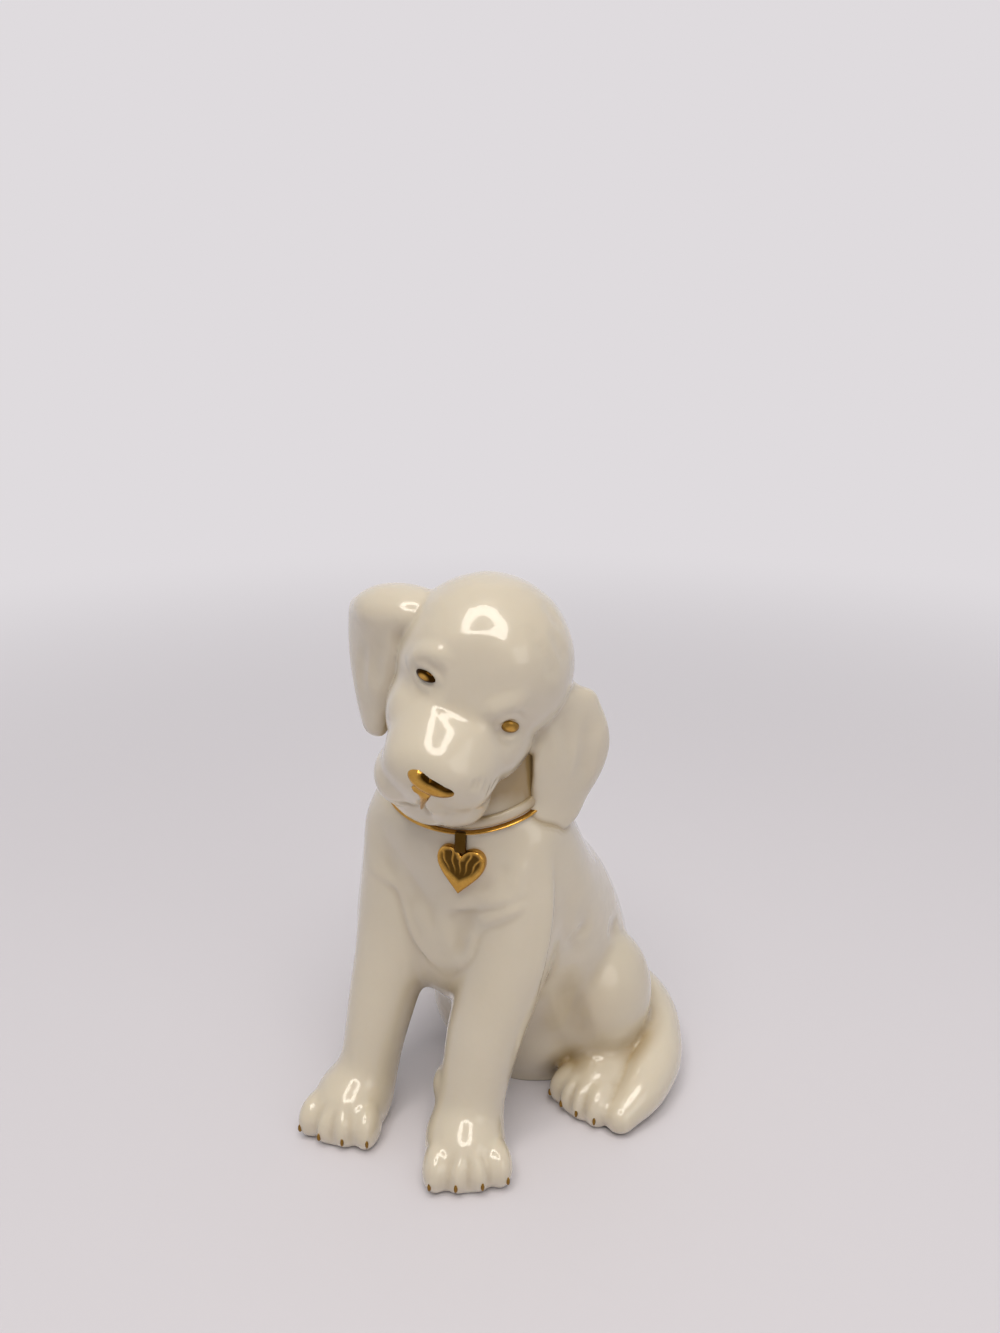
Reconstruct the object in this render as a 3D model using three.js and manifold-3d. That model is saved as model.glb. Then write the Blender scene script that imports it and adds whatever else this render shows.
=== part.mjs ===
// A sitting puppy in ivory glazed porcelain with bright gold details.
// Slip-cast pieces (torso, head, ears, legs, tail and collar) are luted together before firing;
// the nose, eyes, claws, heart tag and the collar's lower edge are gilded.
// Millimetres, +Z up, the puppy faces -Y and its left side is +X.
// The origin is on the table, under the middle of the figure's box.

import * as THREE from "three";
import { LoftGeometry } from "three/addons/geometries/LoftGeometry.js";
import { mergeVertices } from "three/addons/utils/BufferGeometryUtils.js";
import Module from "manifold-3d";

const wasm = await Module();
wasm.setup();

// Driving dimensions

const slipJoint = 0.3; // gap the slip fills between two luted castings
const castWall = 3.2; // wall of the hollow torso and head
const table = 0; // height of the surface the puppy sits on

// Sections of the torso from the seat to the neck, which stands inside the head.
// x, y and z place the middle of a section; width runs across it, depth from front to back.
const torso = {
  seat: { x: 1.7, y: 18, z: -4, width: 34, depth: 36 },
  rump: { x: 1.7, y: 18, z: 12, width: 40, depth: 41 },
  belly: { x: 1.2, y: 10.5, z: 30, width: 41, depth: 42 },
  ribs: { x: 0.6, y: 2, z: 43, width: 40, depth: 37 },
  shoulders: { x: -0.6, y: -2.6, z: 54, width: 39, depth: 32 },
  ruff: { x: -2.4, y: -4.4, z: 61, width: 40.4, depth: 30 },
  throat: { x: -0.8, y: -5.4, z: 70.5, width: 27, depth: 26.5 },
  neckTop: { x: 0.4, y: -6.6, z: 80, width: 22, depth: 22, round: 5 },
};
const breast = { x: -1.5, y: -9.8, z: 39.4, width: 22, depth: 17, height: 33 };
const vent = { diameter: 9, x: 1.7, y: 20 }; // hole in the seat that lets air out in the kiln
const airway = { diameter: 10 }; // hole through the top of the neck, from the torso into the head

// The head is shaped about the middle of the skull, facing -Y, and then cocked over.
const headPose = { x: 3.4, y: -8, z: 92.1, yaw: 15.5, pitch: 17.7, roll: 24 };
const skull = { width: 31.5, length: 32, height: 32, y: 0, z: 0.2 };
const brow = { width: 23, length: 13, height: 15, y: -8.5, z: 3.5 };
const cheek = { width: 12, length: 20, height: 16, apart: 15, y: -7, z: -7.5 };
const muzzle = {
  stop: { y: -7, z: -4.5, width: 20, height: 17 },
  bridge: { y: -14, z: -8.2, width: 21, height: 18 },
  snout: { y: -19.3, z: -10.6, width: 19.8, height: 17, round: 6.2 },
};
const jaw = {
  hinge: { y: -6, z: -13.5, width: 16, height: 10 },
  lip: { y: -14, z: -17.6, width: 15.5, height: 8.4 },
  chin: { y: -18.4, z: -19.2, width: 12.5, height: 7.6, round: 3.8 },
};
const flew = { width: 11, length: 13, height: 10.5, apart: 9.6, y: -17, z: -15.2 };
const nose = { width: 8.2, length: 4.4, height: 4, y: -24.2, z: -7.8, tilt: 24 };
const philtrum = { width: 1.7, length: 1.6, height: 6.5, y: -25, z: -10.8 };
const eye = { width: 3.8, height: 2.6, depth: 2.4, apart: 16.4, toeOut: 24, slant: 18, sink: 0.45 };
const eyeHeight = { left: -0.3, right: 2.3 }; // the eyes are set a little unevenly
const skullHollow = { width: 24, length: 24, height: 23 };

// An ear flap hangs straight down from the skull; its back edge is flared out to the side.
// width runs along the flare, thick through the flap.
const leftEar = {
  flare: 43,
  root: { x: 12, y: -2, z: 85.6, size: 14 },
  fold: { x: 16.8, y: -2, z: 85, width: 13.5, thick: 4.8, round: 3 },
  flap: { x: 17.8, y: -2.3, z: 76, width: 17.5, thick: 4.4 },
  hem: { x: 16.6, y: -3.8, z: 67.5, width: 15.4, thick: 4 },
  tip: { x: 15.8, y: -7, z: 63, width: 10, thick: 3.4, round: 1.8 },
};
const rightEar = {
  flare: 52,
  root: { x: -9.5, y: -12.5, z: 100.4, size: 15 },
  fold: { x: -12.6, y: -14.8, z: 99.4, width: 19.5, thick: 8, round: 4.4 },
  flap: { x: -15.8, y: -14.9, z: 93, width: 16.4, thick: 5.6 },
  hem: { x: -16.6, y: -14.9, z: 84, width: 11.5, thick: 4.4 },
  tip: { x: -16.6, y: -15, z: 78.6, width: 7, thick: 3.6, round: 1.8 },
};

// A foreleg is luted to the chest at the shoulder; turn points the paw away from -Y.
const foreleg = {
  shoulder: { width: 16, depth: 19 },
  elbow: { width: 15, depth: 17 },
  shin: { width: 13, depth: 13.4 },
  wrist: { width: 12.2, depth: 12.6 },
};
const leftForeleg = {
  shoulder: { x: 10, y: -7, z: 51 },
  elbow: { x: 9.4, y: -11.5, z: 39 },
  shin: { x: 8, y: -16.5, z: 24 },
  wrist: { x: 7.2, y: -20, z: 9 },
  paw: { x: 8, y: -23.9, turn: 36 },
};
const rightForeleg = {
  shoulder: { x: -15, y: -6.6, z: 57.5 },
  elbow: { x: -15, y: -11.5, z: 39 },
  shin: { x: -15, y: -17, z: 24 },
  wrist: { x: -15.4, y: -20.5, z: 9 },
  paw: { x: -16.9, y: -25.2, turn: 12 },
};
const forepaw = { width: 16.2, length: 18.4, height: 12.5, toes: 4 };

// The hips are turned towards the right side, so the left thigh lies further forward.
const hips = { x: 1.7, y: 18, turn: -20 };
const thigh = { width: 19.5, length: 23.5, height: 31, aside: 17.5, ahead: -0.5, z: 16.8, lean: 0 };
const hindFoot = { width: 12, height: 10.5, length: 15, z: 4.6 };
const leftHindPaw = { aside: 24.7, ahead: 6, turn: 4 };
const rightHindPaw = { aside: 25, ahead: -1, turn: 4 };
const hindpaw = { width: 13.8, length: 17, height: 10.5, toes: 4 };

const toe = { spread: 56, rise: 3.4, width: 5.8, length: 10, height: 9 };
const claw = { width: 1.1, depth: 1.5, height: 3, rise: 2.6, lean: 10 };

// The tail leaves the rump low down and curls round the left hind foot on the table.
const tail = {
  root: { x: 10, y: 34, z: 8, width: 12, height: 14, round: 4 },
  bend: { x: 22, y: 28, z: 7, width: 12, height: 13 },
  side: { x: 29.6, y: 16.5, z: 6, width: 11, height: 12 },
  run: { x: 31.4, y: 5.4, z: 4.8, width: 9.6, height: 10 },
  tip: { x: 30.2, y: -2.8, z: 3.2, width: 6.4, height: 6.4, round: 3.2 },
};

// The collar is a strap round the throat, lower in front, with a gilded lower edge.
const collar = { thick: 1.5, height: 3.6, x: -0.6, y: -5, z: 70.6, dip: 12 };
const collarEdge = { thick: 1.8, height: 0.6 };
const tagStrap = { width: 2.4, height: 3.4, thick: 1.4 };
const heart = { width: 9, height: 9.2, thick: 2, bevel: 0.8, x: 4.4, drop: 2.4 };

// Shaping

const sides = 16; // facets round a section
const ringsPerStation = 2; // sections from one station to the next
const capRings = 3; // sections that round off an end
const capFlat = 0.12; // share of an end section left as its small flat

const porcelain = new THREE.MeshStandardMaterial({ color: 0xe9e0cb, roughness: 0.15, metalness: 0 });
const gilding = new THREE.MeshStandardMaterial({ color: 0xb98a35, roughness: 0.25, metalness: 1 });

const figure = new THREE.Group();
const degrees = THREE.MathUtils.degToRad;
const at = (x, y, z) => new THREE.Vector3(x, y, z);
const sideways = at(1, 0, 0);
const backwards = at(0, 1, 0);

// Solids and meshes

function solidOf(geometry) {
  const bare = new THREE.BufferGeometry();
  bare.setAttribute("position", geometry.attributes.position);
  bare.setIndex(geometry.index);
  const merged = mergeVertices(bare, 1e-4);
  return new wasm.Manifold(
    new wasm.Mesh({
      numProp: 3,
      vertProperties: new Float32Array(merged.attributes.position.array),
      triVerts: new Uint32Array(merged.index.array),
    }),
  );
}

function geometryOf(solid) {
  const mesh = solid.getMesh();
  const geometry = new THREE.BufferGeometry();
  geometry.setAttribute("position", new THREE.BufferAttribute(mesh.vertProperties, mesh.numProp));
  geometry.setIndex(new THREE.BufferAttribute(mesh.triVerts, 1));
  geometry.computeVertexNormals();
  return geometry;
}

function joined(solids) {
  return solids.reduce((whole, piece) => whole.add(piece));
}

function without(solid, ...cutters) {
  return cutters.reduce((rest, cutter) => rest.subtract(cutter), solid);
}

// The main body of a piece, without slivers that a cut has left beside it.
function mainBody(solid) {
  return solid.decompose().sort((p, q) => q.volume() - p.volume())[0];
}

function addPiece(parent, name, solid, finish) {
  const mesh = new THREE.Mesh(geometryOf(mainBody(solid)), finish.clone());
  mesh.name = name;
  parent.add(mesh);
}

function moved(solid, matrix) {
  return solid.transform(matrix.elements);
}

// A closed form with elliptical sections on a smooth spine through the stations.
// A station has x, y, z and the half-axes a, along across, and b; the end stations are rounded off.
function loftThrough(stations, across, clearance = 0) {
  const spine = new THREE.CatmullRomCurve3(stations.map((s) => at(s.x, s.y, s.z)));
  const girth = new THREE.CatmullRomCurve3(stations.map((s) => at(s.a + clearance, s.b + clearance, 0)));
  const section = (t, shrink, beyond) => {
    const along = spine.getTangent(t);
    const wide = across.clone().addScaledVector(along, -across.dot(along)).normalize();
    const deep = along.clone().cross(wide);
    const middle = spine.getPoint(t).addScaledVector(along, beyond);
    const half = girth.getPoint(t).multiplyScalar(shrink);
    return Array.from({ length: sides }, (_, i) => {
      const angle = (i / sides) * 2 * Math.PI;
      return middle
        .clone()
        .addScaledVector(wide, half.x * Math.cos(angle))
        .addScaledVector(deep, half.y * Math.sin(angle));
    });
  };
  const cap = (t, station, sign) => {
    const reach = (station.round ?? Math.min(station.a, station.b)) + clearance;
    return Array.from({ length: capRings }, (_, i) => {
      const shrink = Math.max(Math.cos(((i + 1) / capRings) * (Math.PI / 2)), capFlat);
      return section(t, shrink, sign * reach * Math.sqrt(1 - shrink * shrink));
    });
  };
  const rings = (stations.length - 1) * ringsPerStation;
  const sections = [
    ...cap(0, stations[0], -1).reverse(),
    ...Array.from({ length: rings + 1 }, (_, i) => section(i / rings, 1, 0)),
    ...cap(1, stations[stations.length - 1], 1),
  ];
  return solidOf(new LoftGeometry(sections, { capStart: true, capEnd: true }));
}

function ellipsoid(centre, size, clearance = 0, turn = new THREE.Euler(), facets = sides) {
  const grow = 2 * clearance;
  const geometry = new THREE.SphereGeometry(0.5, facets, facets / 2);
  geometry.scale(size.x + grow, size.y + grow, size.z + grow);
  geometry.applyMatrix4(new THREE.Matrix4().makeRotationFromEuler(turn));
  geometry.translate(centre.x, centre.y, centre.z);
  return solidOf(geometry);
}

function block(centre, size, turn = new THREE.Euler()) {
  const geometry = new THREE.BoxGeometry(size.x, size.y, size.z);
  geometry.applyMatrix4(new THREE.Matrix4().makeRotationFromEuler(turn));
  geometry.translate(centre.x, centre.y, centre.z);
  return solidOf(geometry);
}

const reach = 4 * headPose.z; // larger than the figure, for the blocks that trim it
const underTable = block(at(0, 0, table - reach / 2), at(reach, reach, reach));

// The point where a line along direction first meets a form, and the form's normal there.
function surfacePoint(form, start, direction) {
  const mesh = new THREE.Mesh(geometryOf(form));
  const hit = new THREE.Raycaster(start, direction.clone().normalize()).intersectObject(mesh)[0];
  return { point: hit.point, normal: hit.face.normal.clone() };
}

// Torso: a hollow casting, flat under the seat, with its air hole

const torsoStations = Object.values(torso).map((s) => ({ ...s, a: s.width / 2, b: s.depth / 2 }));
function torsoForm(clearance) {
  const chest = ellipsoid(
    at(breast.x, breast.y, breast.z),
    at(breast.width, breast.depth, breast.height),
    clearance,
  );
  return joined([loftThrough(torsoStations, sideways, clearance), chest]);
}
const torsoKeepOut = torsoForm(slipJoint);

// Collar: bands of the neck's own form, thickened and cut by two slanting planes

const collarTurn = new THREE.Euler(degrees(collar.dip), 0, 0);
function neckBand(thick, top, bottom) {
  const middle = at(0, 0, (top + bottom) / 2).applyEuler(collarTurn);
  const slab = block(
    middle.add(at(collar.x, collar.y, collar.z)),
    at(2 * torso.belly.width, 2 * torso.belly.depth, top - bottom),
    collarTurn,
  );
  return torsoForm(thick).intersect(slab);
}
const collarBand = neckBand(collar.thick, collar.height / 2, -collar.height / 2);
const edgeTop = -collar.height / 2 - slipJoint;
const edgeBand = neckBand(collarEdge.thick, edgeTop, edgeTop - collarEdge.height);
const collarKeepOut = neckBand(
  collarEdge.thick + slipJoint,
  collar.height / 2 + slipJoint,
  edgeTop - collarEdge.height - slipJoint,
);
addPiece(figure, "collar", without(collarBand, torsoKeepOut), porcelain);
addPiece(figure, "collar_gilded_edge", without(edgeBand, torsoKeepOut), gilding);

// Heart tag: a bevelled heart on a short strap, laid on the chest below the collar

function heartForm() {
  const w = heart.width / 2 - heart.bevel;
  const h = heart.height - 2 * heart.bevel;
  const outline = new THREE.Shape();
  outline.moveTo(0, -h * 0.62);
  outline.bezierCurveTo(w * 0.5, -h * 0.32, w, -h * 0.12, w, h * 0.12);
  outline.bezierCurveTo(w, h * 0.44, w * 0.22, h * 0.48, 0, h * 0.22);
  outline.bezierCurveTo(-w * 0.22, h * 0.48, -w, h * 0.44, -w, h * 0.12);
  outline.bezierCurveTo(-w, -h * 0.12, -w * 0.5, -h * 0.32, 0, -h * 0.62);
  const plate = new THREE.ExtrudeGeometry(outline, {
    depth: heart.thick - heart.bevel,
    bevelThickness: heart.bevel,
    bevelSize: heart.bevel,
    bevelSegments: 2,
    curveSegments: 7,
  });
  plate.translate(0, 0, -heart.bevel);
  return plate;
}

// Turns a piece of the tag, drawn in its own plane, onto the chest in front at the height z.
function onChest(solid, z) {
  const place = surfacePoint(torsoKeepOut, at(heart.x, -reach, z), backwards);
  const matrix = new THREE.Matrix4().lookAt(place.normal, at(0, 0, 0), at(0, 0, 1));
  return moved(solid, matrix.setPosition(place.point));
}
const strapForm = (clearance) =>
  block(
    at(0, 0, 0),
    at(tagStrap.width + clearance, tagStrap.height + clearance, 2 * tagStrap.thick + clearance),
  );

const collarFront = torso.throat.depth / 2 + collarEdge.thick;
const tagTop =
  collar.z -
  collarFront * Math.sin(degrees(collar.dip)) -
  (collar.height / 2 + slipJoint + collarEdge.height) * Math.cos(degrees(collar.dip));
const strapHeight = tagTop - slipJoint - tagStrap.height / 2;
const heartHeight = tagTop - tagStrap.height - heart.drop;
const strap = onChest(strapForm(0), strapHeight);
const strapKeepOut = onChest(strapForm(2 * slipJoint), strapHeight);
const heartSolid = onChest(solidOf(heartForm()), heartHeight);
addPiece(figure, "tag_strap", without(strap, torsoKeepOut, collarKeepOut), gilding);
addPiece(figure, "heart_tag", without(heartSolid, torsoKeepOut, strapKeepOut), gilding);

// Head: skull, brow, cheeks, muzzle, flews and jaw in one hollow casting that slips over the neck

const headTurn = new THREE.Euler(
  degrees(headPose.pitch),
  degrees(headPose.roll),
  degrees(headPose.yaw),
  "ZXY",
);
const headMatrix = new THREE.Matrix4().makeRotationFromEuler(headTurn);
headMatrix.setPosition(headPose.x, headPose.y, headPose.z);
const intoHead = headMatrix.clone().invert();
const headGroup = new THREE.Group();
headGroup.applyMatrix4(headMatrix);
figure.add(headGroup);

const faceStations = (form) =>
  Object.values(form).map((s) => ({ ...s, x: 0, a: s.width / 2, b: s.height / 2 }));

function headForm(clearance) {
  const pairs = [cheek, flew].flatMap((form) =>
    [-1, 1].map((side) =>
      ellipsoid(
        at((side * form.apart) / 2, form.y, form.z),
        at(form.width, form.length, form.height),
        clearance,
      ),
    ),
  );
  return joined([
    ellipsoid(at(0, skull.y, skull.z), at(skull.width, skull.length, skull.height), clearance),
    ellipsoid(at(0, brow.y, brow.z), at(brow.width, brow.length, brow.height), clearance),
    loftThrough(faceStations(muzzle), sideways, clearance),
    loftThrough(faceStations(jaw), sideways, clearance),
    ...pairs,
  ]);
}

function noseForm(clearance) {
  const pad = ellipsoid(
    at(0, nose.y, nose.z),
    at(nose.width, nose.length, nose.height),
    clearance,
    new THREE.Euler(degrees(nose.tilt), 0, 0),
    12,
  );
  const drip = ellipsoid(
    at(0, philtrum.y, philtrum.z),
    at(philtrum.width, philtrum.length, philtrum.height),
    clearance,
    new THREE.Euler(),
    8,
  );
  return joined([pad, drip]);
}

const bareHead = headForm(0);
const eyePlaces = [-1, 1].map((side) => ({
  side,
  ...surfacePoint(
    bareHead,
    at((side * eye.apart) / 2, -reach, side > 0 ? eyeHeight.left : eyeHeight.right),
    backwards,
  ),
}));
function eyeForm({ side, point }, clearance) {
  const turn = new THREE.Euler(0, degrees(side * eye.slant), degrees(side * eye.toeOut), "ZXY");
  const inward = at(0, eye.sink, 0).applyEuler(turn);
  return ellipsoid(point.clone().add(inward), at(eye.width, eye.depth, eye.height), clearance, turn, 10);
}

const hollow = ellipsoid(
  at(0, skull.y, skull.z),
  at(skullHollow.width, skullHollow.length, skullHollow.height),
);
const head = without(
  bareHead,
  hollow,
  moved(torsoKeepOut, intoHead),
  moved(collarKeepOut, intoHead),
  noseForm(slipJoint),
  ...eyePlaces.map((place) => eyeForm(place, slipJoint)),
);
addPiece(headGroup, "head", head, porcelain);
addPiece(headGroup, "nose", noseForm(0), gilding);
for (const place of eyePlaces) {
  addPiece(headGroup, place.side > 0 ? "left_eye" : "right_eye", eyeForm(place, 0), gilding);
}

// Paws: a rounded pad with a row of toes, each toe with its own gilded claw

function pawMatrix(place) {
  const turn = new THREE.Matrix4().makeRotationZ(degrees(place.turn));
  return turn.setPosition(place.x, place.y, table);
}

function toePlaces(paw) {
  return Array.from({ length: paw.toes }, (_, i) => {
    const turn = degrees(toe.spread) * (i / (paw.toes - 1) - 0.5);
    const across = (paw.width - toe.width) * (i / (paw.toes - 1) - 0.5);
    const ahead = (paw.length / 2 - toe.length * 0.37) * Math.cos(turn * 0.95);
    return { turn: turn * 0.5, x: across, y: -ahead };
  });
}

function pawForm(paw, place, clearance) {
  const pad = ellipsoid(
    at(0, 0, paw.height * 0.36),
    at(paw.width, paw.length, paw.height * 1.28),
    clearance,
  );
  const toes = toePlaces(paw).map((t) =>
    ellipsoid(
      at(t.x, t.y, toe.rise),
      at(toe.width, toe.length, toe.height),
      clearance,
      new THREE.Euler(0, 0, t.turn),
      10,
    ),
  );
  return moved(joined([pad, ...toes]), pawMatrix(place));
}

// The claws of a paw, each set where the toe's front is met at the claw's height.
function clawPlaces(paw, place) {
  const form = pawForm(paw, place, 0);
  const matrix = pawMatrix(place);
  return toePlaces(paw).map((t) => {
    const direction = at(0, 1, 0).applyAxisAngle(at(0, 0, 1), degrees(place.turn) + 1.6 * t.turn);
    const start = at(t.x, t.y, claw.rise).applyMatrix4(matrix).addScaledVector(direction, -paw.length);
    return { ...surfacePoint(form, start, direction), turn: degrees(place.turn) + 1.6 * t.turn };
  });
}

function clawForm({ point, turn }, clearance) {
  const lean = new THREE.Euler(degrees(-claw.lean), 0, turn, "ZXY");
  return ellipsoid(point, at(claw.width, claw.depth, claw.height), clearance, lean, 8);
}

function addLimb(name, form, paw, place, cutters) {
  const claws = clawPlaces(paw, place);
  const sockets = claws.map((c) => clawForm(c, slipJoint));
  addPiece(figure, name, without(form, underTable, ...cutters, ...sockets), porcelain);
  claws.forEach((c, i) => addPiece(figure, `${name}_claw_${i + 1}`, clawForm(c, 0), gilding));
}

// Forelegs

function forelegForm(place, clearance) {
  const stations = Object.entries(foreleg).map(([name, s]) => ({
    ...place[name],
    a: s.width / 2,
    b: s.depth / 2,
  }));
  return joined([loftThrough(stations, sideways, clearance), pawForm(forepaw, place.paw, clearance)]);
}
const chestKeepOut = [torsoKeepOut, collarKeepOut];
addLimb("left_foreleg", forelegForm(leftForeleg, 0), forepaw, leftForeleg.paw, chestKeepOut);
addLimb("right_foreleg", forelegForm(rightForeleg, 0), forepaw, rightForeleg.paw, chestKeepOut);

// Hind legs: a thigh against the torso and a foot that points forward from under it

function fromHips(aside, ahead, z) {
  const turned = at(aside, -ahead, z).applyAxisAngle(at(0, 0, 1), degrees(hips.turn));
  return turned.add(at(hips.x, hips.y, 0));
}

function hindPawPlace(side, paw) {
  const place = fromHips(side * paw.aside, paw.ahead, 0);
  return { x: place.x, y: place.y, turn: hips.turn + side * paw.turn };
}

function hindLegForm(side, paw, clearance) {
  const lean = new THREE.Euler(degrees(thigh.lean), 0, degrees(hips.turn), "ZXY");
  const ham = ellipsoid(
    fromHips(side * thigh.aside, thigh.ahead, thigh.z),
    at(thigh.width, thigh.length, thigh.height),
    clearance,
    lean,
  );
  const place = hindPawPlace(side, paw);
  const heel = at(0, hindFoot.length, hindFoot.z).applyMatrix4(pawMatrix(place));
  const half = { a: hindFoot.width / 2, b: hindFoot.height / 2 };
  const foot = loftThrough(
    [
      { x: heel.x, y: heel.y, z: heel.z, ...half },
      { x: place.x, y: place.y, z: hindFoot.z, ...half },
    ],
    sideways,
    clearance,
  );
  return joined([ham, foot, pawForm(hindpaw, place, clearance)]);
}
const leftHind = hindLegForm(1, leftHindPaw, 0);
const rightHind = hindLegForm(-1, rightHindPaw, 0);
addLimb("left_hind_leg", leftHind, hindpaw, hindPawPlace(1, leftHindPaw), [torsoKeepOut]);
addLimb("right_hind_leg", rightHind, hindpaw, hindPawPlace(-1, rightHindPaw), [torsoKeepOut]);

// Tail

const tailStations = Object.values(tail).map((s) => ({ ...s, a: s.width / 2, b: s.height / 2 }));
const tailForm = loftThrough(tailStations, at(1, 1, 0).normalize());
const leftHindKeepOut = hindLegForm(1, leftHindPaw, slipJoint);
addPiece(figure, "tail", without(tailForm, underTable, torsoKeepOut, leftHindKeepOut), porcelain);

// Ears: flaps luted to the skull, free of the collar and the shoulders

const headKeepOut = moved(headForm(slipJoint), headMatrix);
function earForm(side, ear) {
  const flare = at(side * Math.sin(degrees(ear.flare)), Math.cos(degrees(ear.flare)), 0);
  flare.applyAxisAngle(at(0, 0, 1), degrees(headPose.yaw));
  const stations = [ear.fold, ear.flap, ear.hem, ear.tip].map((s) => ({
    ...s,
    a: s.width / 2,
    b: s.thick / 2,
  }));
  const root = ellipsoid(at(ear.root.x, ear.root.y, ear.root.z), at(1, 1, 0.62).multiplyScalar(ear.root.size));
  return joined([loftThrough(stations, flare), root]);
}
const earCutters = [headKeepOut, torsoKeepOut, collarKeepOut];
const leftShoulder = forelegForm(leftForeleg, slipJoint);
const rightShoulder = forelegForm(rightForeleg, slipJoint);
addPiece(figure, "left_ear", without(earForm(1, leftEar), ...earCutters, leftShoulder), porcelain);
addPiece(figure, "right_ear", without(earForm(-1, rightEar), ...earCutters, rightShoulder), porcelain);

// Torso: the hollow, the vent under the seat and the airway through the neck

const underSeatWall = block(at(0, 0, table + castWall - reach / 2), at(reach, reach, reach));
const torsoHollow = without(loftThrough(torsoStations, sideways, -castWall), underSeatWall);
function drilled(diameter, x, y, z) {
  const drill = new THREE.CylinderGeometry(diameter / 2, diameter / 2, 6 * castWall, sides);
  drill.rotateX(Math.PI / 2);
  drill.translate(x, y, z);
  return solidOf(drill);
}
const ventHole = drilled(vent.diameter, vent.x, vent.y, table);
const neckHole = drilled(airway.diameter, torso.neckTop.x, torso.neckTop.y, torso.neckTop.z + 2 * castWall);
addPiece(figure, "torso", without(torsoForm(0), underTable, torsoHollow, ventHole, neckHole), porcelain);

// The figure stands over the origin

const puppy = new THREE.Group();
puppy.add(figure);
const extent = new THREE.Box3().setFromObject(figure, true);
const middle = extent.getCenter(at(0, 0, 0));
figure.position.set(-middle.x, -middle.y, -table);

export default puppy;
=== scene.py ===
# A sitting puppy in ivory glazed porcelain, with bright gold eyes, nose, claws, collar edge and heart tag.
# The forms are modelled in millimetres, as in clay: lumps and rolls are kneaded together, the tools mark
# the surface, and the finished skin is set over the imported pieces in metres.

import math

import bmesh
import bpy
import numpy as np
from mathutils import Matrix, Vector, geometry, noise
from mathutils.bvhtree import BVHTree


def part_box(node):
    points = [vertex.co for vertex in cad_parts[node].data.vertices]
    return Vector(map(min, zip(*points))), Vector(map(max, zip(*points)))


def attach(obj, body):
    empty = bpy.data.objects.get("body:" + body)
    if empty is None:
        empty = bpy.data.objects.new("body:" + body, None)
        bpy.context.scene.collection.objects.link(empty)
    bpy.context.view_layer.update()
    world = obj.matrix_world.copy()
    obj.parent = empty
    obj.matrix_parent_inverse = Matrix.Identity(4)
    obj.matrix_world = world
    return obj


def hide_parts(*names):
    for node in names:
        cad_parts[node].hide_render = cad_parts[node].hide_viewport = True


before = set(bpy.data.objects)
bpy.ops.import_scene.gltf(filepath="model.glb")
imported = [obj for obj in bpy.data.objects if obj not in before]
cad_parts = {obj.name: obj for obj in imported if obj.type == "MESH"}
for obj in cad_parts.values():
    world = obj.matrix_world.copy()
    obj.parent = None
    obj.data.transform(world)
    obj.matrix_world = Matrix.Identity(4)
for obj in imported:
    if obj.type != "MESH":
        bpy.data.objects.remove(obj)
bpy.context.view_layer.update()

# Viewpoint
# The photograph looks down on the puppy from its left front, about a forearm's length away.
# The same eye places each tool mark where the photograph shows it on the surface.

MM = 0.001
MIDDLE = Vector((2.6622, 5.1261, 0))  # middle of the figure, which stands over the frame's origin
TO_FRAME = Matrix.Scale(MM, 4) @ Matrix.Translation(-MIDDLE)  # modelling millimetres to the frame's metres
PHOTO_WIDTH = 1000
PHOTO_HEIGHT = 1333
FOCAL_PIXELS = 1040
SENSOR = 36
EYE = Vector((93.39, -158.75, 145))
EYE_TURN = math.radians(30)
EYE_DIP = math.radians(17)

ahead = Vector((-math.sin(EYE_TURN), math.cos(EYE_TURN), 0))
eye_right = Vector((math.cos(EYE_TURN), math.sin(EYE_TURN), 0))
eye_line = ahead * math.cos(EYE_DIP) - Vector((0, 0, math.sin(EYE_DIP)))
eye_up = ahead * math.sin(EYE_DIP) + Vector((0, 0, math.cos(EYE_DIP)))


def sight(pixel):
    """The direction in which the eye sees a pixel of the photograph."""
    across = (pixel[0] - PHOTO_WIDTH / 2) / FOCAL_PIXELS
    down = (pixel[1] - PHOTO_HEIGHT / 2) / FOCAL_PIXELS
    return (eye_line + eye_right * across - eye_up * down).normalized()


lens = bpy.data.cameras.new("photo_lens")
lens.sensor_width = SENSOR
lens.lens = SENSOR * FOCAL_PIXELS / PHOTO_HEIGHT
lens.clip_start = 0.005
camera = bpy.data.objects.new("photo_eye", lens)
bpy.context.scene.collection.objects.link(camera)
facing = Matrix((eye_right, eye_up, -eye_line)).transposed().to_4x4()
camera.matrix_world = Matrix.Translation((EYE - MIDDLE) * MM) @ facing
bpy.context.scene.camera = camera

# Seated body
# The torso, the four legs and the tail are slip castings luted into one body, sponged over and glazed.
# The torso leans back on its flat seat; the tail curls forward round the left hind foot.

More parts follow.
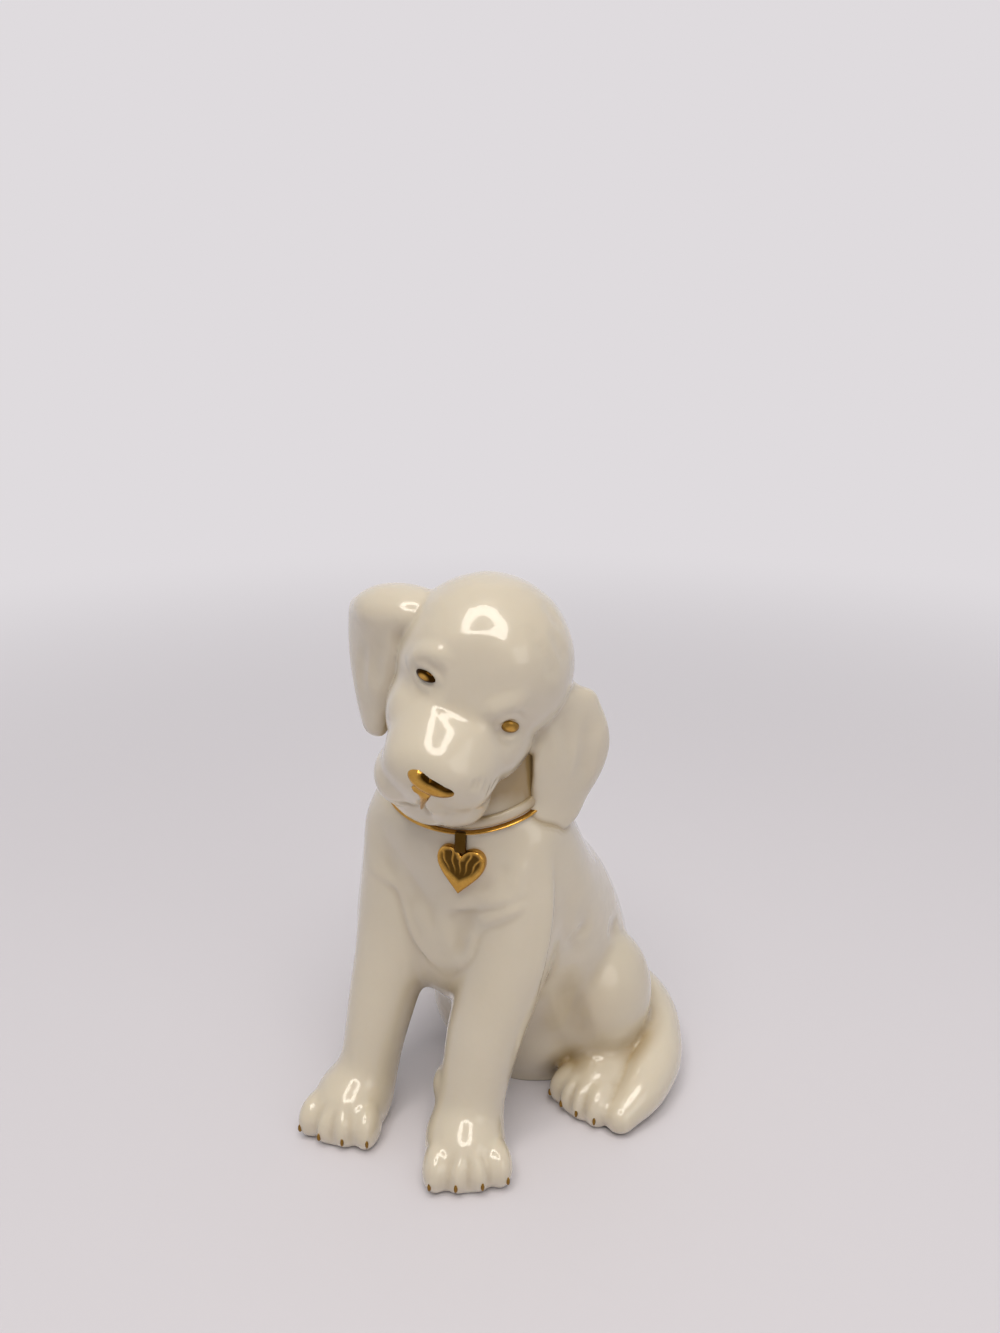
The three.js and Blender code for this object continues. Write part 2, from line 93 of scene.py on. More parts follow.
TORSO = (  # x, y, z of the middle, width and depth, from the seat to the shoulders
    (1.7, 18, -4, 34, 36),
    (1.7, 18, 12, 40, 41),
    (1.2, 10.5, 30, 41, 42),
    (0.6, 2, 43, 40, 37),
    (-0.6, -2.6, 54, 39, 32),
    (-2.3, -4.3, 60, 40.4, 30),
    (-2.1, -4.6, 63, 37, 28.5),
)
NECK = (  # from inside the chest to inside the skull
    (0, -4.6, 50, 29, 27),
    (0.6, -4.4, 64, 29, 28.5),
    (1.5, -4.6, 71, 25, 26.4),
    (1.9, -5, 80, 24, 25),
    (2.2, -5.8, 88, 22, 21.5),
)
TOP_ROUND = 4  # how far the tops of torso and neck are rounded over
BREAST = ((-1.5, -9.8, 39.4), (22, 17, 33))
BELLY = ((0.5, 8, 13), (38, 24, 34))
LEFT_FORELEG = (
    (11, -5.5, 60, 14, 17),
    (10.4, -7.5, 51, 16.5, 19),
    (10.6, -10.9, 39, 15.9, 17),
    (8.2, -16.2, 24, 15, 14.4),
    (7.2, -20, 11, 12.8, 12.8),
    (7.8, -22.4, 4, 14, 14),
)
RIGHT_FORELEG = (
    (-15, -6.6, 57.5, 16, 19),
    (-13.8, -11.2, 39, 18, 17),
    (-14.9, -17, 24, 13.8, 13.8),
    (-15.8, -20.8, 11, 12, 12.6),
    (-16.6, -23.6, 4, 14, 14),
)
FEATHER = ((1.4, -20.2, 11.5), (5, 6, 9))  # tuft behind the left wrist
HIPS = Vector((1.7, 18, 0))
HIPS_TURN = -20
THIGH = (19.5, 23.5, 31)
THIGH_ASIDE = 17.5
THIGH_BACK = 0.5
THIGH_MIDDLE = 16.8
HIND_FOOT = (12, 10.5, 15)  # width, height, and length back from the paw's middle
HIND_FOOT_MIDDLE = 4.6
TAIL = (
    (10, 34, 8, 12, 14),
    (22, 28, 7, 12, 13),
    (29.6, 16.5, 6, 11, 12),
    (31.4, 5.4, 4.8, 9.6, 10),
    (30.2, -2.8, 3.2, 6.4, 6.4),
)
TAIL_ACROSS = Vector((1, 1, 0)).normalized()
TAIL_ROOT_ROUND = 4
FOREPAW = (16.2, 18.4, 12.5)
HINDPAW = (13.8, 17, 10.5)
PAW_LUMPS = (  # middle and size, as shares of the paw's width, length and height
    ((0, 0, 0.33), (0.96, 1, 1.2)),
    ((0, -0.2, 0.26), (0.98, 0.72, 0.9)),
)
TOES = 4
TOE = (5.8, 10, 9)
TOE_MIDDLE = 3.4
TOE_SET_BACK = 0.37  # share of a toe's length that stays within the paw
TOE_SPREAD = 56
TOE_ARC = 0.95
TOE_TURN = 0.5
TRUNK_KNEAD = (0.7, 24)  # grain and rubs
LEGS_KNEAD = (0.6, 34)
BODY_KNEAD = (0.54, 5)
SIDEWAYS = Vector((1, 0, 0))
UP = Vector((0, 0, 1))
SECTION_SIDES = 32
SECTIONS_PER_STATION = 8
END_SECTIONS = 5


def smooth_run(stations, count):
    """Evenly timed rows of the smooth curve that passes through the stations."""
    rows = np.array(stations, float)
    rows = np.vstack([2 * rows[0] - rows[1], rows, 2 * rows[-1] - rows[-2]])
    spans = len(stations) - 1
    time = np.linspace(0, spans, count)
    start = np.minimum(time.astype(int), spans - 1)
    part = (time - start)[:, None]
    before, here, after, beyond = (rows[start + i] for i in range(4))
    rise = after - before
    bend = 2 * before - 5 * here + 4 * after - beyond
    twist = 3 * (here - after) + beyond - before
    return here + 0.5 * part * (rise + part * (bend + part * twist))


def lump(clay, middle, size, turn=Matrix()):
    """An egg-shaped lump of clay."""
    place = Matrix.Translation(middle) @ turn @ Matrix.Diagonal((*size, 1))
    bmesh.ops.create_icosphere(clay, subdivisions=5, radius=0.5, matrix=place)


def roll(clay, stations, across, first_round=None, last_round=None):
    """A roll of clay with an oval section that swells and tapers through the stations."""
    run = smooth_run(stations, SECTIONS_PER_STATION * (len(stations) - 1) + 1)
    ways = np.gradient(run[:, :3], axis=0)
    places = []

    def section(i, shrink, onward):
        along = Vector(ways[i]).normalized()
        wide = (across - along * across.dot(along)).normalized()
        deep = along.cross(wide)
        half = run[i, 3:5] / 2 * shrink
        turn = Matrix((wide * half[0], deep * half[1], along)).transposed().to_4x4()
        places.append(Matrix.Translation(Vector(run[i, :3]) + along * onward) @ turn)

    curve = [math.pi / 2 * i / END_SECTIONS for i in range(1, END_SECTIONS)]
    first_reach = first_round or min(run[0, 3:5]) / 2
    last_reach = last_round or min(run[-1, 3:5]) / 2
    for angle in reversed(curve):
        section(0, math.cos(angle), -first_reach * math.sin(angle))
    for i in range(len(run)):
        section(i, 1, 0)
    for angle in curve:
        section(len(run) - 1, math.cos(angle), last_reach * math.sin(angle))
    below = None
    for i, place in enumerate(places):
        closed = i in (0, len(places) - 1)
        ring = bmesh.ops.create_circle(
            clay, cap_ends=closed, segments=SECTION_SIDES, radius=1, matrix=place
        )["verts"]
        edges = list({e for v in ring for e in v.link_edges if e.other_vert(v) in ring})
        if below:
            bmesh.ops.bridge_loops(clay, edges=below + edges)
        below = edges


def knead(clay, grain, rubs):
    """Presses overlapping lumps into one skin, with points a grain apart, and rubs the seams down."""
    bmesh.ops.recalc_face_normals(clay, faces=clay.faces)
    mesh = bpy.data.meshes.new("clay")
    clay.to_mesh(mesh)
    clay.free()
    lumps = bpy.data.objects.new("clay", mesh)
    bpy.context.scene.collection.objects.link(lumps)
    press = lumps.modifiers.new("press", "REMESH")
    press.mode = "VOXEL"
    press.voxel_size = grain
    rub = lumps.modifiers.new("rub", "SMOOTH")
    rub.factor = 0.5
    rub.iterations = rubs
    pressed = lumps.evaluated_get(bpy.context.evaluated_depsgraph_get())
    skin = bmesh.new()
    skin.from_mesh(pressed.to_mesh())
    bpy.data.objects.remove(lumps)
    bpy.data.meshes.remove(mesh)
    return skin


def add_clay(clay, more):
    """Puts another piece of clay, already shaped, against this one."""
    mesh = bpy.data.meshes.new("clay")
    more.to_mesh(mesh)
    more.free()
    clay.from_mesh(mesh)
    bpy.data.meshes.remove(mesh)


def pad(clay, size, place):
    """The rounded block of a paw, before it has toes."""
    paw = bmesh.new()
    for middle, share in PAW_LUMPS:
        lump(paw, np.multiply(middle, size), np.multiply(share, size))
    bmesh.ops.transform(paw, matrix=place, verts=paw.verts)
    add_clay(clay, paw)


def toes(clay, size, place):
    """A row of toes along the front of a paw."""
    width, length, _ = size
    paw = bmesh.new()
    for i in range(TOES):
        share = i / (TOES - 1) - 0.5
        turn = math.radians(TOE_SPREAD) * share
        ahead_of = (length / 2 - TOE_SET_BACK * TOE[1]) * math.cos(TOE_ARC * turn)
        middle = ((width - TOE[0]) * share, -ahead_of, TOE_MIDDLE)
        lump(paw, middle, TOE, Matrix.Rotation(TOE_TURN * turn, 4, "Z"))
    bmesh.ops.transform(paw, matrix=place, verts=paw.verts)
    add_clay(clay, paw)


def standing(x, y, turn):
    """A place on the table, turned by some degrees."""
    return Matrix.Translation((x, y, 0)) @ Matrix.Rotation(math.radians(turn), 4, "Z")


def by_hips(aside, ahead_of, turn=0):
    """A place beside the hips, which are turned a little to the right."""
    return (
        Matrix.Translation(HIPS)
        @ Matrix.Rotation(math.radians(HIPS_TURN), 4, "Z")
        @ Matrix.Translation((aside, -ahead_of, 0))
        @ Matrix.Rotation(math.radians(turn), 4, "Z")
    )


def hind_leg(clay, side, foot_place):
    """A thigh against the rump and a foot that points forward from under it."""
    thigh_place = by_hips(side * THIGH_ASIDE, -THIGH_BACK) @ Matrix.Translation((0, 0, THIGH_MIDDLE))
    lump(clay, (0, 0, 0), THIGH, thigh_place)
    width, height, length = HIND_FOOT
    heel = foot_place @ Vector((0, length, HIND_FOOT_MIDDLE))
    instep = foot_place @ Vector((0, 0, HIND_FOOT_MIDDLE))
    roll(clay, ((*heel, width, height), (*instep, width, height)), SIDEWAYS)


PAWS = (  # left and right forepaw, left and right hind paw
    (FOREPAW, standing(8, -23.9, 36)),
    (FOREPAW, standing(-16.9, -25.2, 12)),
    (HINDPAW, by_hips(24.7, 6, 4)),
    (HINDPAW, by_hips(-25, -1, -4)),
)

body = bmesh.new()
roll(body, TORSO, SIDEWAYS, last_round=TOP_ROUND)
roll(body, NECK, SIDEWAYS, last_round=TOP_ROUND)
lump(body, *BREAST)
lump(body, *BELLY)
roll(body, LEFT_FORELEG, SIDEWAYS)
roll(body, RIGHT_FORELEG, SIDEWAYS)
for size, place in PAWS[:2]:
    pad(body, size, place)
body = knead(body, *TRUNK_KNEAD)
hind_leg(body, 1, PAWS[2][1])
hind_leg(body, -1, PAWS[3][1])
for size, place in PAWS[2:]:
    pad(body, size, place)
lump(body, *FEATHER)
body = knead(body, *LEGS_KNEAD)
for size, place in PAWS:
    toes(body, size, place)
roll(body, TAIL, TAIL_ACROSS, first_round=TAIL_ROOT_ROUND)
body = knead(body, *BODY_KNEAD)


def stand_flat(clay):
    """Cuts the clay off at the table and closes what it stands on."""
    everything = [*clay.verts, *clay.edges, *clay.faces]
    bmesh.ops.bisect_plane(
        clay, geom=everything, plane_co=(0, 0, 0), plane_no=(0, 0, 1), clear_inner=True
    )
    bmesh.ops.holes_fill(clay, edges=[e for e in clay.edges if e.is_boundary])


TOOL_STEP = 0.25
LEAST_STEPS = 8
TOOL_TAPER = 0.3  # share of a stroke over which the tool comes down, and lifts off again
LAP_STEP = 0.7
ON_TABLE = 0.01
NOTHING = 1e-9  # keeps a division from failing where a stroke stands still


class Skin:
    """A leather-hard surface that the tools press in or build up."""

    def __init__(self, clay):
        self.clay = clay
        self.feel()

    def feel(self):
        """Takes the surface as it now is."""
        self.clay.normal_update()
        self.clay.verts.index_update()
        self.points = np.array([v.co for v in self.clay.verts])
        self.normals = np.array([v.normal for v in self.clay.verts])
        self.tree = BVHTree.FromBMesh(self.clay)

    def rubbed(self, values, rubs):
        """Values at the points, evened out with those of their neighbours."""
        ends = np.array([(e.verts[0].index, e.verts[1].index) for e in self.clay.edges])
        count = len(self.points)
        one, other = ends[:, 0], ends[:, 1]
        links = np.bincount(ends.ravel(), minlength=count)
        for _ in range(rubs):
            sums = [
                np.bincount(one, column[other], count) + np.bincount(other, column[one], count)
                for column in values.T
            ]
            values = np.stack(sums, 1) / links[:, None]
        return values

    def seen(self, pixel):
        """The point of the surface that the photograph shows at a pixel."""
        return self.tree.ray_cast(EYE, sight(pixel))[0]

    def line(self, pixels):
        """The points of the surface along a line of pixels."""
        return [found for found in map(self.seen, pixels) if found]

    def mark(self, pixels, width, height, lap=False):
        """Draws a tool along the pixels of the photograph."""
        self.stroke(self.line(pixels), width, height, lap)

    def stroke(self, path, width, height, lap=False):
        """Draws a tool through the points: a ridge of that height, or a groove if it is below zero.
        A lap raises only the side to the right of the way the tool goes, as one lock over another."""
        path = np.array(path)
        if len(path) > 1:
            length = np.linalg.norm(np.diff(path, axis=0), axis=1).sum()
            path = smooth_run(path, int(length / TOOL_STEP) + LEAST_STEPS)
            path = np.array([self.tree.find_nearest(Vector(point))[0] for point in path])
        near = np.all((self.points > path.min(0) - width) & (self.points < path.max(0) + width), axis=1)
        near = np.flatnonzero(near)
        apart = self.points[near, None, :] - path[None, :, :]
        far = np.linalg.norm(apart, axis=2)
        closest = far.argmin(1)
        share = np.clip(far[np.arange(len(near)), closest] / width, 0, 1)
        lift = (1 - share**2) ** 2
        if len(path) > 1:
            end = np.minimum(closest, len(path) - 1 - closest) / (len(path) - 1)
            lift *= np.clip(end / TOOL_TAPER, 0, 1)
        if lap:
            way = np.gradient(path, axis=0)[closest]
            over = np.cross(way, self.normals[near])
            side = (apart[np.arange(len(near)), closest] * over).sum(1)
            side /= np.linalg.norm(over, axis=1) + NOTHING
            lift *= np.clip(side / LAP_STEP + 0.5, 0, 1)
        self.points[near] += self.normals[near] * (height * lift)[:, None]

    def hand(self, swell, size):
        """The slight unevenness of a surface that was sponged by hand."""
        for i, point in enumerate(self.points):
            self.points[i] += self.normals[i] * swell * noise.noise(Vector(point) / size)

    def settle(self, rubs=0):
        """Leaves the clay as it has been worked, rubbed over with a sponge."""
        for vert, point in zip(self.clay.verts, self.points):
            vert.co = point
        free = [v for v in self.clay.verts if v.co.z > ON_TABLE]
        for _ in range(rubs):
            bmesh.ops.smooth_vert(
                self.clay, verts=free, factor=0.5, use_axis_x=True, use_axis_y=True, use_axis_z=True
            )
        self.feel()


stand_flat(body)
body = Skin(body)
BODY_HAND = (0.16, 8)  # height and size of the unevenness
body.hand(*BODY_HAND)
BIB_TOOL = (4.5, 0.85)  # width and height of what the tool leaves, here and below
BIB = (
    ((446, 976), (428, 958), (414, 938), (406, 914), (398, 890), (384, 880), (366, 868)),
    ((484, 930), (478, 938), (472, 957), (460, 968), (446, 976)),
    ((530, 890), (512, 900), (488, 907), (456, 910), (442, 918)),
    ((530, 906), (512, 916), (488, 926), (478, 933)),
)
for edge in BIB:
    body.mark(edge, *BIB_TOOL, lap=True)
BIB_LOCK_TOOL = (2.6, 0.4)
BIB_LOCKS = (
    ((392, 850), (404, 874), (418, 900), (430, 930)),
    ((416, 900), (426, 925), (440, 955)),
    ((440, 905), (444, 930), (450, 955)),
    ((487, 890), (488, 906)),
    ((505, 868), (498, 885), (492, 902)),
    ((522, 858), (518, 876), (512, 894)),
)
for lock in BIB_LOCKS:
    body.mark(lock, *BIB_LOCK_TOOL)
body.settle(2)
SHOULDER_TOOL = (4, 0.7)
SHOULDER_EDGE = ((551, 850), (553, 880), (552, 910), (549, 936), (544, 962), (538, 988), (534, 1008))
THIGH_TOOL = (4, -0.8)
THIGH_EDGE = ((575, 962), (570, 988), (575, 1010), (582, 1035), (592, 1058))
SHOULDERS_MIDDLE = -1.6
shoulder_edge = body.line(SHOULDER_EDGE)
thigh_edge = body.line(THIGH_EDGE)
over_shoulders = Matrix.Translation((2 * SHOULDERS_MIDDLE, 0, 0)) @ Matrix.Diagonal((-1, 1, 1, 1))
over_hips = by_hips(0, 0) @ Matrix.Diagonal((-1, 1, 1, 1)) @ by_hips(0, 0).inverted()
body.stroke(shoulder_edge, *SHOULDER_TOOL, lap=True)
body.stroke([over_shoulders @ point for point in reversed(shoulder_edge)], *SHOULDER_TOOL, lap=True)
body.stroke(thigh_edge, *THIGH_TOOL)
body.stroke([over_hips @ point for point in thigh_edge], *THIGH_TOOL)
FLANK_TOOL = (3, -0.55)
FLANK_FOLDS = (
    ((576, 912), (585, 922), (582, 932), (576, 941), (580, 950), (589, 954)),
    ((608, 930), (618, 924), (630, 918)),
)
for fold in FLANK_FOLDS:
    folded = body.line(fold)
    body.stroke(folded, *FLANK_TOOL)
    body.stroke([over_hips @ point for point in folded], *FLANK_TOOL)
TOE_TOOL = (1.2, -0.4)
TOE_GROOVE = ((6.8, 8.4), (8.8, 6.2), (9.8, 3.6), (10, 0.8))  # reach from the paw's middle, and height
for _, place in PAWS:
    for i in range(TOES - 1):
        turn = math.radians(TOE_SPREAD) * ((i + 0.5) / (TOES - 1) - 0.5)
        ahead_of = Vector((math.sin(turn), -math.cos(turn), 0))
        body.stroke([place @ (ahead_of * far + UP * z) for far, z in TOE_GROOVE], *TOE_TOOL)
body.settle(1)


def linear(colour):
    """A colour written as six hex digits of sRGB, as linear light."""
    parts = [int(colour[i : i + 2], 16) / 255 for i in (0, 2, 4)]
    return (*[p / 12.92 if p <= 0.04045 else ((p + 0.055) / 1.055) ** 2.4 for p in parts], 1)


def add_node(tree, kind, inputs, **settings):
    """Adds a node with its settings; an input is a value or the output that feeds it."""
    made = tree.nodes.new(kind)
    for name, value in settings.items():
        setattr(made, name, value)
    for name, value in inputs.items():
        if isinstance(value, bpy.types.NodeSocket):
            tree.links.new(value, made.inputs[name])
        else:
            made.inputs[name].default_value = value
    return made


CLOUD_SIZE = 16  # of the faint clouds in the colour
RIPPLE_SIZE = 4.5
RIPPLE_DEPTH = 0.08
GLOW_DEPTH = 2.5  # how far light goes into the clay


def glazed_porcelain():
    """Ivory porcelain under a clear glaze: wet gloss, a soft warm body, brown where glaze has pooled in
    dents and brown as painted shade where the surface is closed in.
    """
    material = bpy.data.materials.new("glazed_ivory_porcelain")
    material.use_nodes = True
    tree = material.node_tree
    surface = tree.nodes["Principled BSDF"]
    place = add_node(tree, "ShaderNodeTexCoord", {}).outputs["Object"]
    pool_and_shade = add_node(tree, "ShaderNodeAttribute", {}, attribute_name="pool_and_painted_shade").outputs["Fac"]
    cloud = add_node(
        tree,
        "ShaderNodeTexNoise",
        {"Vector": place, "Scale": 1 / (CLOUD_SIZE * MM), "Detail": 3.0, "Roughness": 0.55},
    ).outputs["Fac"]
    body_colour = add_node(
        tree,
        "ShaderNodeMix",
        {"Factor": cloud, "A": linear("D3C8B2"), "B": linear("DBD1BE")},
        data_type="RGBA",
    ).outputs["Result"]
    # dark brown: pooled glaze in dents, and painted shade in closed-in hollows
    pooled_and_shaded = add_node(
        tree,
        "ShaderNodeMix",
        {"Factor": pool_and_shade, "A": body_colour, "B": linear("A38A5C")},
        data_type="RGBA",
    ).outputs["Result"]
    tree.links.new(pooled_and_shaded, surface.inputs["Base Color"])
    ripple = add_node(
        tree,
        "ShaderNodeTexNoise",
        {"Vector": place, "Scale": 1 / (RIPPLE_SIZE * MM), "Detail": 2.0, "Roughness": 0.5},
    ).outputs["Fac"]
    wave = add_node(
        tree, "ShaderNodeBump", {"Height": ripple, "Strength": 1.0, "Distance": RIPPLE_DEPTH * MM}
    ).outputs["Normal"]
    tree.links.new(wave, surface.inputs["Normal"])
    tree.links.new(wave, surface.inputs["Coat Normal"])
    surface.inputs["Roughness"].default_value = 0.22
    surface.inputs["IOR"].default_value = 1.5
    surface.inputs["Coat Weight"].default_value = 1.0
    surface.inputs["Coat Roughness"].default_value = 0.035
    surface.inputs["Subsurface Weight"].default_value = 0.12
    surface.inputs["Subsurface Radius"].default_value = (1.0, 0.75, 0.5)
    surface.inputs["Subsurface Scale"].default_value = GLOW_DEPTH * MM
    return material


SKY = 10  # directions felt over each point
SKY_REACH = 13
SKY_START = 0.1
SPIRAL = math.radians(137.5)
DENT_RUBS = 8
DENT_DEPTH = 0.3
DENT_SHARE = 0.4
SHADE_RUBS = 12
SHADE_FROM = 0.08
SHADE_SPAN = 0.42
SHADE_MOST = 0.75


def pool_and_painted_shade(skin, *others):
    """How dark brown each point is coloured, from 0 to 1: glaze pooled in dents, and painted shade where
    other clay closes it in.
    """
    dents = ((skin.rubbed(skin.points, DENT_RUBS) - skin.points) * skin.normals).sum(1)
    closed = np.zeros((len(skin.points), 1))
    ways = []
    for i in range(SKY):
        off = math.sqrt((i + 0.5) / SKY)
        ways.append((off * math.cos(i * SPIRAL), off * math.sin(i * SPIRAL), math.sqrt(1 - off * off)))
    for i, (point, normal) in enumerate(zip(skin.points, skin.normals)):
        out = Vector(normal)
        aside = out.orthogonal().normalized()
        forth = out.cross(aside)
        start = Vector(point) + out * SKY_START
        for a, b, c in ways:
            way = aside * a + forth * b + out * c
            for clay in (skin, *others):
                far = clay.tree.ray_cast(start, way, SKY_REACH)[3]
                if far is not None:
                    closed[i] += 1 - far / SKY_REACH
                    break
    shade = skin.rubbed(closed / SKY, SHADE_RUBS)[:, 0]
    dented = DENT_SHARE * np.clip(dents / DENT_DEPTH, 0, 1)
    shaded = np.clip((shade - SHADE_FROM) / SHADE_SPAN, 0, SHADE_MOST)
    return np.clip(dented + shaded, 0, 1)


def fire(skin, name, material, nodes, pool_and_shade):
    """Sets a finished skin over the pieces that it stands for."""
    mesh = bpy.data.meshes.new(name)
    skin.clay.to_mesh(mesh)
    # the attribute holds pooled glaze and painted shade, which the materials mix towards dark brown
    pool_and_shade_attribute = mesh.attributes.new("pool_and_painted_shade", "FLOAT", "POINT")
    pool_and_shade_attribute.data.foreach_set("value", pool_and_shade.astype(np.float32))
    mesh.transform(TO_FRAME)
    mesh.shade_smooth()
    mesh.materials.append(material)
    piece = bpy.data.objects.new(name, mesh)
    bpy.context.scene.collection.objects.link(piece)
    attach(piece, "root")
    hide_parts(*nodes)


porcelain = glazed_porcelain()
LEGS = ("left_foreleg", "right_foreleg", "left_hind_leg", "right_hind_leg")

# Head and ears
# The head is a hollow casting slipped over the neck and cocked to one side; the ears are pressed flaps.
# Brow, lids, mouth and cheek fur are worked with a tool before the ears are luted on.

HEAD_MIDDLE = (3.4, -8, 92.1)
HEAD_YAW = math.radians(15.5)
HEAD_NOD = math.radians(17.7)
HEAD_COCK = math.radians(24)
HEAD_PLACE = (
    Matrix.Translation(HEAD_MIDDLE)
    @ Matrix.Rotation(HEAD_YAW, 4, "Z")
    @ Matrix.Rotation(HEAD_NOD, 4, "X")
    @ Matrix.Rotation(HEAD_COCK, 4, "Y")
)
SKULL = ((0, 0, 0.2), (31.5, 32, 32))
BROW = ((0, -8.5, 3.5), (23, 13, 15))
CHEEK = (12, 20, 16)
CHEEK_PLACE = Vector((7.5, -7, -7.5))
MUZZLE = ((0, -7, -4.5, 20, 17), (0, -14, -8.2, 21, 18), (0, -19.3, -10.6, 19.8, 17))
MUZZLE_ROUND = 6.2
JAW = ((0, -6, -13.5, 16, 10), (0, -14, -17.6, 15.5, 8.4), (0, -18.4, -19.2, 12.5, 7.6))
JAW_ROUND = 3.8
FLEW = (11.6, 13, 11.6)
FLEW_PLACE = Vector((4.8, -17, -15.2))
LEFT_FLARE = math.radians(43)
LEFT_EAR = (
    (16.8, -2, 85, 13.5, 4.8),
    (17.8, -2.3, 76, 17.5, 4.4),
    (16, -4, 67.5, 13.6, 4),
    (15, -7, 63, 8.8, 3.4),
)
LEFT_EAR_ROOT = ((12, -2, 85.6), (14, 14, 8.7))
LEFT_FOLD_ROUND = 3
RIGHT_FLARE = math.radians(52)
RIGHT_EAR = (
    (-14.9, -14.4, 99.4, 17, 8),
    (-15.9, -14.7, 92.6, 16.4, 5.6),
    (-16.1, -14.9, 84, 11.8, 4.4),
    (-16.1, -15, 78.6, 7.4, 3.6),
)
RIGHT_EAR_ROOT = ((-10.8, -12.9, 100.7), (20, 13.5, 10))
RIGHT_FOLD_ROUND = 4
EAR_TIP_ROUND = 1.8
SKULL_KNEAD = (0.5, 28)
EAR_KNEAD = (0.4, 34)
HEAD_KNEAD = (0.34, 10)
HEAD_HAND = (0.22, 6)

head = bmesh.new()
lump(head, *SKULL)
lump(head, *BROW)
for side in (-1, 1):
    lump(head, (side * CHEEK_PLACE.x, CHEEK_PLACE.y, CHEEK_PLACE.z), CHEEK)
roll(head, MUZZLE, SIDEWAYS, last_round=MUZZLE_ROUND)
roll(head, JAW, SIDEWAYS, last_round=JAW_ROUND)
for side in (-1, 1):
    lump(head, (side * FLEW_PLACE.x, FLEW_PLACE.y, FLEW_PLACE.z), FLEW)
bmesh.ops.transform(head, matrix=HEAD_PLACE, verts=head.verts)
head = knead(head, *SKULL_KNEAD)


def ear(side, flare_turn, flap, root, fold_round):
    """A flap that hangs from a fold beside the skull, thickened where it is luted on."""
    clay = bmesh.new()
    flare = Vector((side * math.sin(flare_turn), math.cos(flare_turn), 0))
    flare.rotate(Matrix.Rotation(HEAD_YAW, 3, "Z"))
    roll(clay, flap, flare, first_round=fold_round, last_round=EAR_TIP_ROUND)
    lump(clay, *root)
    return knead(clay, *EAR_KNEAD)


add_clay(head, ear(1, LEFT_FLARE, LEFT_EAR, LEFT_EAR_ROOT, LEFT_FOLD_ROUND))
add_clay(head, ear(-1, RIGHT_FLARE, RIGHT_EAR, RIGHT_EAR_ROOT, RIGHT_FOLD_ROUND))
head = Skin(knead(head, *HEAD_KNEAD))
head.hand(*HEAD_HAND)
STOP = (473, 684)
STOP_TOOL = (9, -1.5)
FOREHEAD = (483, 622)
FOREHEAD_TOOL = (9, -0.5)
EYE_SOCKETS = ((427, 679), (510, 727))
SOCKET_TOOL = (4.6, -0.9)
head.mark((STOP,), *STOP_TOOL)
head.mark((FOREHEAD,), *FOREHEAD_TOOL)
for pixel in EYE_SOCKETS:
    head.mark((pixel,), *SOCKET_TOOL)
BROW_TOOL = (3, 0.7)
BROW_RIDGES = (
    ((407, 668), (418, 656), (434, 656), (447, 671)),
    ((488, 722), (497, 712), (511, 706), (531, 700)),
)
for ridge in BROW_RIDGES:
    head.mark(ridge, *BROW_TOOL)
head.settle(1)
UPPER_LID_TOOL = (1.2, 0.55)
UPPER_LIDS = (
    ((416, 668), (426, 667), (436, 675), (440, 687)),
    ((497, 731), (502, 719), (513, 716), (524, 727)),
)
LOWER_LID_TOOL = (1.1, 0.3)
LOWER_LIDS = (
    ((415, 671), (421, 684), (434, 691)),
    ((498, 733), (509, 739), (523, 733)),
)
for lid in UPPER_LIDS:
    head.mark(lid, *UPPER_LID_TOOL)
for lid in LOWER_LIDS:
    head.mark(lid, *LOWER_LID_TOOL)
MOUTH_TOOL = (0.9, -0.8)
MOUTH = (
    ((392, 802), (405, 804), (415, 806), (422, 807)),
    ((421, 800), (422, 807), (426, 811), (431, 816)),
)
for line in MOUTH:
    head.mark(line, *MOUTH_TOOL)
WHISKER_TOOL = (0.8, -0.25)
WHISKER_BED = (
    ((493, 780), (486, 798)),
    ((488, 777), (481, 795)),
    ((498, 778), (490, 793)),
    ((482, 776), (476, 792)),
    ((476, 778), (471, 792)),
)
for hair in WHISKER_BED:
    head.mark(hair, *WHISKER_TOOL)
EAR_FOLD_TOOL = (3.2, -0.5)
EAR_FOLD = ((598, 712), (592, 728), (588, 748), (583, 772), (575, 795))
head.mark(EAR_FOLD, *EAR_FOLD_TOOL)
EAR_WAVE_TOOL = (2.4, -0.3)
EAR_WAVES = (
    ((540, 728), (545, 750), (546, 780)),
    ((560, 712), (566, 740), (564, 775)),
    ((365, 640), (362, 670), (364, 700)),
    ((383, 630), (377, 660), (376, 690)),
)
for wave in EAR_WAVES:
    head.mark(wave, *EAR_WAVE_TOOL)
NAPE_TOOL = (2.4, -0.22)
NAPE_LOCKS = (
    ((540, 600), (552, 614), (560, 632)),
    ((548, 628), (559, 646), (567, 664)),
    ((538, 640), (549, 662), (556, 684)),
    ((528, 622), (538, 640), (545, 656)),
)
for lock in NAPE_LOCKS:
    head.mark(lock, *NAPE_TOOL)
head.settle(1)
body_nodes = ("torso", *LEGS, "tail")
body_pool_and_shade = pool_and_painted_shade(body, head)
SHADE_PATCHES = (  # painted shade in the neck hollow, on the flank and thigh and on the belly between the forelegs: the place, its reach and how much
    ((520, 780), 9, 1.1),
    ((572, 1008), 13, 0.3),
    ((590, 1050), 9, 0.25),
    ((452, 985), 7, 0.3),
)
for pixel, wide, amount in SHADE_PATCHES:
    far = np.linalg.norm(body.points - np.array(body.seen(pixel)), axis=1)
    body_pool_and_shade += amount * np.clip(1 - (far / wide) ** 2, 0, 1) ** 2
fire(body, "seated_body", porcelain, body_nodes, np.clip(body_pool_and_shade, 0, 1))
head_nodes = ("head", "left_ear", "right_ear")
fire(head, "head_with_ears", porcelain, head_nodes, pool_and_painted_shade(head, body))

